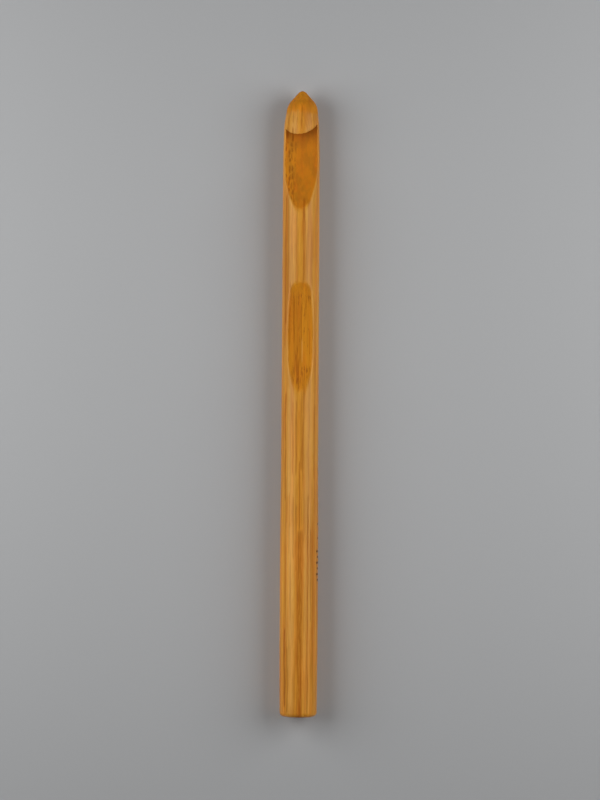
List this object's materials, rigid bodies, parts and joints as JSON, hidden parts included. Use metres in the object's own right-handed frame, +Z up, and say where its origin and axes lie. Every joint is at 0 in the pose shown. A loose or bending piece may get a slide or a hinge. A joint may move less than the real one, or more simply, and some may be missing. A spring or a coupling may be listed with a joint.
{
  "type": "crochet hook",
  "caption": "Straight one-piece wooden crochet hook with a pointed head, an undercut lip and throat, a shallow thumb rest and a plain round handle",
  "frame": {"origin": "on the plane the hook lies on, under the middle of its length", "axes": "+Y along the stick to the pointed tip, +Z up out of the throat and the thumb rest, +X to the right seen from above with the tip pointing away, on the size mark's side"},
  "size_m": [0.0091, 0.15, 0.0091],
  "materials": {
    "bamboo": "satin, waxed and burnished; matte where it was cut and sanded",
    "char": "matte, burnt"
  },
  "bodies": {
    "root": {"bamboo_hook": "bamboo", "burnt_size_mark": "char"}
  },
  "joints": []
}
